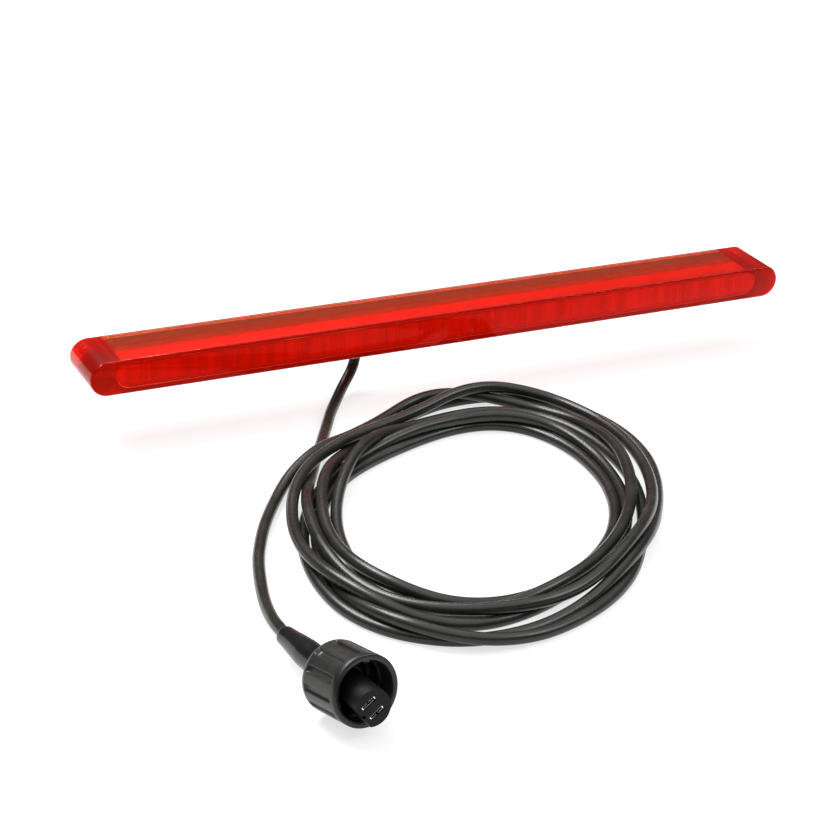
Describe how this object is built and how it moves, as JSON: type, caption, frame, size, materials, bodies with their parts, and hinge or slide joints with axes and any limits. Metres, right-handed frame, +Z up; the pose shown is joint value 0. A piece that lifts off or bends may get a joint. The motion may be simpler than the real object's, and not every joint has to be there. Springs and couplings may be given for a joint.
{
  "type": "third brake light",
  "caption": "Slim red light bar for a high-mounted stop light, with a coiled two-core cable and a bayonet plug.",
  "frame": {"origin": "middle of the rear mounting face of the lamp", "axes": "+X along the lamp, +Y out of the rear mounting face into the vehicle, so the light shines along -Y, +Z up"},
  "size_m": [0.4, 0.3223, 0.047],
  "materials": {
    "red_lens": "clear deep red moulded acrylic, polished",
    "red_optic": "red tinted clear acrylic with upright flutes",
    "grey_plastic": "grey moulded ABS, fine grain",
    "red_plastic": "bright red reflector plastic, smooth",
    "pale_silicone": "pale silicone sealing bead",
    "board_green": "solder mask over glass epoxy",
    "led_body": "ceramic package with a clear dome",
    "component_black": "black epoxy mould",
    "plated_steel": "zinc plated steel",
    "brass": "turned brass",
    "core_brown": "brown PVC core insulation",
    "core_white": "white PVC core insulation",
    "black_rubber": "black moulded rubber",
    "cable_jacket": "black PVC cable jacket, satin",
    "boot_black": "glossy black soft PVC sleeve",
    "plug_black": "black moulded polyamide",
    "ring_black": "black moulded polyamide with grip ribs, satin",
    "plated_contact": "bright tin plated spring bronze"
  },
  "bodies": {
    "root": {"lens": "red_lens", "back_cover": "grey_plastic", "cover_seal": "pale_silicone", "inner_frame": "grey_plastic", "reflector": "red_plastic", "optic_bar": "red_optic", "circuit_board": "board_green", "leds": "led_body", "resistors": "component_black", "protection_diode": "component_black", "regulator_chip": "component_black", "board_screws": "plated_steel", "solder_terminals": "brass", "lead_positive": "core_brown", "lead_negative": "core_white", "mounting_inserts": "brass", "cable_clamp": "plug_black", "cable_grommet": "black_rubber", "cable_lead": "cable_jacket", "cable_coil": "cable_jacket", "cable_tail": "cable_jacket", "plug_boot": "boot_black", "plug_body": "plug_black", "contact_carrier": "plug_black", "contact_positive": "plated_contact", "contact_negative": "plated_contact", "plug_seal": "black_rubber"},
    "ring": {"coupling_ring": "ring_black"}
  },
  "joints": [
    {"name": "ring_turn", "type": "hinge", "parent": "root", "child": "ring", "pos_m": [-0.183, -0.286, -0.0229], "axis": [0.153, -0.9661, 0.2079], "range_deg": [-60, 60]}
  ]
}
